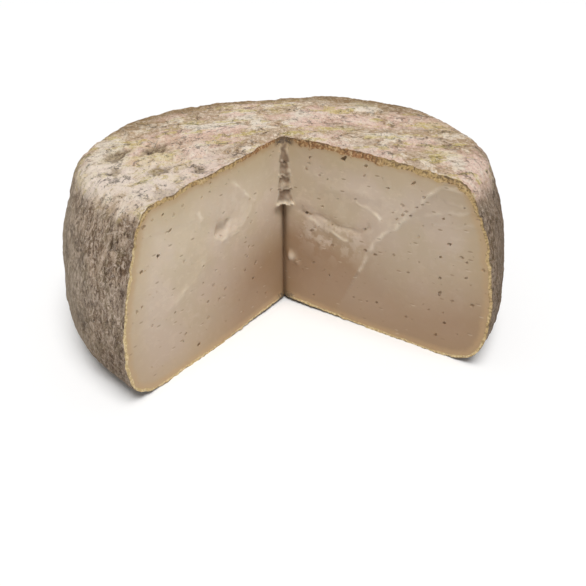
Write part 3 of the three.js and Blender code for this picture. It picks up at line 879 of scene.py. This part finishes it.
def paste_material():
    """Pale goat's milk paste, tan towards the rind and with the crust's line at the cut's edge."""
    m = Nodes("paste")
    depth = m.attribute("depth")
    even = m.stretched(1, 1, 1)
    clouds = m.noise(even, 1 / 26, 3, 0.5)
    curd = m.noise(even, 1 / 4.5, 4, 0.6)
    grain = m.noise(even, 1 / 0.8, 3, 0.6)
    grit = m.noise(even, 1 / 1.1, 4, 0.7)
    wobble = m.math("SUBTRACT", m.noise(even, 1 / 2.2, 4, 0.65), 0.5)
    ragged = m.plus(depth, m.times(wobble, 1.9))
    width = m.times(ragged, m.attribute("thin"))
    leaning = m.add("ShaderNodeMapping", Vector=m.stretched(2.4, 2.4, 0.9), Rotation=(0.3, 0.3, 0)).outputs[0]
    flecks = m.noise(leaning, 1 / 1.8, 4)
    pinhole_shadows = m.dots(leaning, 1 / 4.0)
    glints = m.dots(m.vector("ADD", i0=leaning, i1=(0.2, 0.2, 0.5)), 1 / 4.0)

    paste = m.mix(m.step(clouds, 0.4, 0.6), (206, 189, 164), (211, 193, 174))
    paste = m.stain(paste, m.step(curd, 0.52, 0.62), 0.2, (232, 216, 194))
    paste = m.stain(paste, m.step(flecks, 0.58, 0.66), 0.15, (238, 224, 204))
    # Painted light on the upper part of the left face.
    paste = m.stain(paste, m.attribute("painted_light"), 0.4, (226, 209, 184))
    paste = m.stain(paste, m.step(depth, 15.0, 3.0), 0.6, (196, 175, 138))
    # Painted shade towards the faces' foot and the corner.
    paste = m.stain(paste, m.attribute("shade"), 0.85, (154, 122, 91))
    # Painted shade below the right face's step.
    paste = m.stain(paste, m.attribute("lower"), 0.35, (180, 162, 141))
    torn_curd = m.times(m.attribute("rough"), m.step(curd, 0.44, 0.56))
    paste = m.stain(paste, torn_curd, 0.4, (230, 216, 200))
    # Smeared paste is paler, with painted highlight on its raised crests.
    paste = m.stain(paste, m.attribute("pale"), 0.7, (240, 226, 204))
    paste = m.stain(paste, m.step(ragged, 5.0, 1.9), 0.65, (190, 158, 118))
    # Painted highlights and painted shade of tiny pinholes: a pale glint beside each dark dot.
    paste = m.stain(paste, m.step(glints, 0.15, 0.06), 0.2, (238, 224, 202))
    paste = m.stain(paste, m.step(pinhole_shadows, 0.15, 0.07), 0.55, (142, 116, 88))

    # The crust's line: rusty along the top and down the right face, yellow down the left one.
    yellow = m.mix(m.step(grit, 0.45, 0.55), (196, 170, 120), (228, 207, 160))
    rusty = m.mix(m.attribute("rust"), (192, 162, 108), (168, 118, 76))
    rusty = m.stain(rusty, m.step(grit, 0.54, 0.59), 0.75, (220, 194, 148))
    rusty = m.stain(rusty, m.step(grit, 0.48, 0.42), 0.75, (98, 74, 50))
    line = m.mix(m.attribute("ochre"), yellow, rusty)
    paste = m.stain(paste, m.step(width, 2.2, 1.8), 0.92, line)
    outer = m.times(m.step(width, 0.75, 0.35), m.step(curd, 0.44, 0.56))
    paste = m.stain(paste, outer, 0.7, (104, 83, 60))

    # The corner: the torn strip's darker paste with painted shade under its ledges, in the corner's crease
    # and in the recess under it, painted highlights on the ledges, and painted shade inside the eyes.
    paste = m.stain(paste, m.attribute("tip"), m.step(grit, 0.4, 0.54), (112, 98, 82))
    paste = m.stain(paste, m.attribute("torn"), 0.88, (116, 90, 66))
    # Painted highlights on the strip's ledges.
    paste = m.stain(paste, m.attribute("painted_ledge_highlight"), 0.85, (228, 212, 188))
    # Painted shade inside the eyes.
    paste = m.stain(paste, m.attribute("pit"), 0.5, (150, 122, 90))

    height = m.plus(m.times(grain, 0.25), m.times(curd, 0.4))
    height = m.plus(height, m.times(m.step(width, 3.0, 1.8), grit))
    return m.finish(paste, 0.5, height, 0.2, Specular_IOR_Level=0.4, Subsurface_Weight=0.25,
                    Subsurface_Radius=(0.004, 0.0028, 0.0018))


def rind_attributes(x, y, z):
    """The rind's looks by the names that its material reads. x and y are from the wheel's axis."""
    flat = z / lean(x)
    wavy = z + 1.5 * noise(x / 14, y / 14, z / 12) + 2.5 * cloud(x, y, z, 4)
    edge = z - 79.8 - 1.5 * noise(x / 12, y / 12, 4)
    low_right = ramp(35, 92, x) * ramp(86, 62, z)
    far_right = 0.75 * ramp(58, 78, x + 0.3 * y) * ramp(83.5, 77, z)
    foot = 0.5 * ramp(46, 6, z)
    return {
        # Crust rather than bloom, hollows of the relief and the flaky plates.
        "side": ramp(80.5, 69, wavy),
        "hollow": ramp(-0.25, -1.0, rind_crust(x, y, flat)),
        "plate": 0.5 + 0.5 * plates(x, y, flat),
        # The crisp dents, and the moulds.
        "bruise": bruises(x, y) * ramp(70, 76, z),
        "gild": moulds(x, y),
        # Paler on the left of the top and greyer at the far left; along the left front of the shoulder, pale
        # bloom with a painted highlight.
        "shoulder": 0.9 * bump(edge, 4.2) * ramp(60, 20, x) * ramp(0, -30, y),
        "pallid": ramp(10, -50, x) * ramp(20, -30, y),
        "haze": ramp(-82, -102, x),
        # Browner round the back of the top; painted shade to the right and at the foot.
        "rim": ramp(8, 50, y) * ramp(56, 84, np.hypot(x, y)) * ramp(66, 78, z),
        "painted_right_and_foot_shade": np.maximum(np.maximum(low_right, far_right), foot),
    }


def crust_line_attributes(x, y, z, depth, from_corner, on_right):
    """The colours and the width of the crust's line on the cut faces."""
    ochre = ramp(60, 74, z) + 0.7 * on_right * ramp(8, 20, z) + 0.35 * cloud(x, y, z, 9)
    rust = ramp(40 + 20 * on_right, 20 + 14 * on_right, from_corner) + 0.5 * cloud(x, y, z, 7)
    uneven = 0.3 * cloud(x, y, z, 3) + 0.25 * cloud(x, y, z, 9)
    thin = 1.6 - ramp(66, 78, z) * ramp(3, 10, from_corner) * (0.45 + 0.4 * on_right)
    return {
        "ochre": np.clip(ochre, 0, 1),
        "rust": np.clip(rust, 0, 1),
        "thin": thin * (1 + 0.8 * uneven),
        "tip": ramp(7, 3.5, from_corner) * ramp(4, 2.5, depth),
    }


def corner_attributes(x, y, z, from_corner, on_right):
    """How dark the torn strip is, with painted shade under its ledges, in the crease of the corner below it
    and in the recess below it on the left face, and the painted highlights on the strip's ledges.
    """
    ledges = np.array([low for low, _ in TORN_LEDGES[:-1]])
    bent = (z - 1.1 * noise(x / 2.2, 3, z / 6))[:, None]
    below = np.min(np.where(ledges >= bent, ledges - bent, 99), 1)
    above = np.min(np.where(ledges <= bent, bent - ledges, 99), 1)
    beyond = from_corner - torn_reach(z)
    strip = ramp(0.8, -0.4, beyond + 0.5 * ramp(60, 80, z)) * ramp(52.5, 53, z)
    uneven = 0.4 * noise(x / 2.2, y / 2.2, z / 3)
    # The strip's own darker paste, darkest just under each ledge: painted shade.
    dark = 0.65 + 0.5 * ramp(70, 76, z) + 0.55 * ramp(4.5, 0.5, below) + uneven
    # Painted shade in the crease of the corner below the strip, and in the recess under it on the left face.
    crease = bump(from_corner, 2.4) * ramp(53.2, 52.8, z) * (0.55 + 0.45 * ramp(25, 50, z))
    recess = (1 - on_right) * bump(np.hypot(from_corner - 2.6, (z - 51) / 1.1), 2.6) * ramp(53.3, 52.8, z)
    # Painted highlights on the edges of the strip's ledges, broadest on the lowest one.
    lips = ramp(1.6, 0.4, beyond) * ramp(1.2, 0.4, above) * (0.6 + 0.8 * cloud(x, y, z, 1.7))
    lips = np.maximum(lips, bump(z - 54, 1.2) * ramp(7, 5.5, from_corner))
    return {
        "torn": np.clip(strip * dark + crease + 0.6 * recess, 0, 1),
        "painted_ledge_highlight": np.clip(lips * ramp(52.4, 53, z) * ramp(77, 74, z), 0, 1),
    }


def face_attributes(at, depth):
    """The paler smears with painted highlight on their raised crests, the torn paste and the painted shade
    inside the eyes, each face in its own measures.
    """
    from_x, from_y = at[:, 0] - APEX[0], at[:, 1] - APEX[1]
    inside = np.full(len(at), -1e9)
    pale = np.zeros(len(at))
    rough = np.zeros(len(at))
    for side in (-1, 1):
        dx, dy = cut_direction(side)
        out = from_x * dx + from_y * dy
        behind = -side * dy * from_x + side * dx * from_y
        own = (np.sign(from_x) == side) & (out > 3)
        relief = cut_form(side, out, at[:, 2]) + cut_finish(side, out, at[:, 2], depth)
        inside = np.where(own, behind - relief, inside)
        pale = np.where(own, smears(side, out, at[:, 2]), pale)
        rough = np.where(own, roughness(side, out, at[:, 2]), rough)
    # pit: painted shade inside the eyes, deeper behind the face.
    return {"pale": pale, "rough": rough, "pit": ramp(0.25, 0.9, inside) * (depth > 1.5)}


def shade_attributes(z, from_corner, on_right):
    """Painted shade on the faces towards their foot and the corner and below the right face's step, and
    painted light on the upper left face.
    """
    # Painted shade towards the corner and low on both faces, more on the right face.
    near_corner = 0.75 * ramp(80, 5, from_corner) * ramp(64, 22, z)
    low = (0.5 + 0.35 * on_right) * ramp(60, 4, z) + on_right * (0.12 + 0.2 * ramp(55, 100, from_corner))
    near, signed = line_distance(from_corner, z, RIGHT_STEP)
    return {
        "shade": np.clip(near_corner + low, 0, 1),
        # Painted light on the upper part of the left face, away from the corner.
        "painted_light": (1 - on_right) * ramp(8, 26, from_corner) * ramp(44, 66, z),
        # Painted shade on the right face below its step.
        "lower": on_right * ramp(0.8, -0.8, signed) * bump(near, 24),
    }


def add_attributes(mesh, skin):
    """Writes what the two materials read at each point of the mesh. Skin is the wheel before the cut."""
    at = np.empty(len(mesh.vertices) * 3, np.float32)
    mesh.vertices.foreach_get("co", at)
    at = at.reshape(-1, 3).astype(float) / MM
    x, y, z = at[:, 0], at[:, 1] - AXIS_Y, at[:, 2]
    depth = np.array([skin.find_nearest(Vector(point))[3] for point in at])
    from_corner = np.hypot(at[:, 0] - APEX[0], at[:, 1] - APEX[1])
    on_right = np.where(x > APEX[0], 1.0, 0.0)
    attributes = {
        "depth": depth,
        **rind_attributes(x, y, z),
        **crust_line_attributes(x, y, z, depth, from_corner, on_right),
        **corner_attributes(x, y, z, from_corner, on_right),
        **face_attributes(at, depth),
        **shade_attributes(z, from_corner, on_right),
    }
    for name, values in attributes.items():
        layer = mesh.attributes.new(name, "FLOAT", "POINT")
        layer.data.foreach_set("value", np.asarray(values, np.float32))


def cheese():
    """The cut wheel as one closed mesh that takes the solid's place."""
    rind, paste = rind_material(), paste_material()
    points, triangles = wheel()
    triangles = outward(points, triangles)
    skin = BVHTree.FromPolygons(points.tolist(), triangles.tolist())
    body = mesh_object("tomme", points, triangles, rind)
    cut_points, cut_triangles = cutter()
    subtract(body, mesh_object("cut", cut_points, outward(cut_points, cut_triangles), paste))
    eye_points, eye_triangles = eyes()
    subtract(body, mesh_object("eyes", eye_points, eye_triangles, paste))

    mesh = body.data
    add_attributes(mesh, skin)
    mesh.polygons.foreach_set("use_smooth", [True] * len(mesh.polygons))
    mesh.set_sharp_from_angle(angle=math.radians(50))
    mesh.update()
    print("tomme triangles:", sum(len(polygon.vertices) - 2 for polygon in mesh.polygons))
    return body


# A near-white floor in metres, an even white sky and one broad sun.
FLOOR_HALF = 3.0
FLOOR_GREY = 0.9
SKY_STRENGTH = 0.32
SUN_STRENGTH = 2.75
SUN_ANGLE = math.radians(38)
SUN_FROM = Vector((0.04, -0.3, 1.0))


def stage_floor():
    material = bpy.data.materials.new("floor")
    material.use_nodes = True
    shader = material.node_tree.nodes["Principled BSDF"]
    shader.inputs["Base Color"].default_value = (FLOOR_GREY, FLOOR_GREY, FLOOR_GREY, 1)
    shader.inputs["Roughness"].default_value = 0.9
    mesh = bpy.data.meshes.new("floor")
    corners = [(x * FLOOR_HALF, y * FLOOR_HALF, 0) for x, y in ((-1, -1), (1, -1), (1, 1), (-1, 1))]
    mesh.from_pydata(corners, [], [(0, 1, 2, 3)])
    mesh.materials.append(material)
    floor = bpy.data.objects.new("floor", mesh)
    bpy.context.scene.collection.objects.link(floor)


def light():
    bpy.context.scene.view_settings.view_transform = "Standard"
    world = bpy.data.worlds.new("studio")
    bpy.context.scene.world = world
    world.use_nodes = True
    sky = world.node_tree.nodes["Background"]
    sky.inputs["Color"].default_value = (1, 1, 1, 1)
    sky.inputs["Strength"].default_value = SKY_STRENGTH
    sun = bpy.data.lights.new("key", "SUN")
    sun.energy = SUN_STRENGTH
    sun.angle = SUN_ANGLE
    lamp = bpy.data.objects.new("key", sun)
    lamp.rotation_euler = SUN_FROM.to_track_quat("Z", "Y").to_euler()
    bpy.context.scene.collection.objects.link(lamp)


# The camera stands where the photograph was taken from.
VIEW_AZIMUTH = math.radians(-10.16)
VIEW_ELEVATION = math.radians(30.73)
VIEW_DISTANCE = 325.5
VIEW_TARGET = Vector((4.5, -16.7, -1.4))
SENSOR = 36.0
FOCAL_LENGTH_PIXELS = 613.0
PHOTO_WIDTH_PIXELS = 586.0


def camera():
    back = Vector((
        math.sin(VIEW_AZIMUTH) * math.cos(VIEW_ELEVATION),
        -math.cos(VIEW_AZIMUTH) * math.cos(VIEW_ELEVATION),
        math.sin(VIEW_ELEVATION),
    ))
    lens = bpy.data.cameras.new("camera")
    lens.sensor_width = SENSOR
    lens.lens = SENSOR * (FOCAL_LENGTH_PIXELS / PHOTO_WIDTH_PIXELS)
    lens.clip_start = 0.01
    eye = bpy.data.objects.new("camera", lens)
    eye.location = (VIEW_TARGET + back * VIEW_DISTANCE) * MM
    eye.rotation_euler = back.to_track_quat("Z", "Y").to_euler()
    bpy.context.scene.collection.objects.link(eye)
    bpy.context.scene.camera = eye


camera()
tomme = cheese()
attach(tomme, "root")
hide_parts("cheese")
stage_floor()
light()
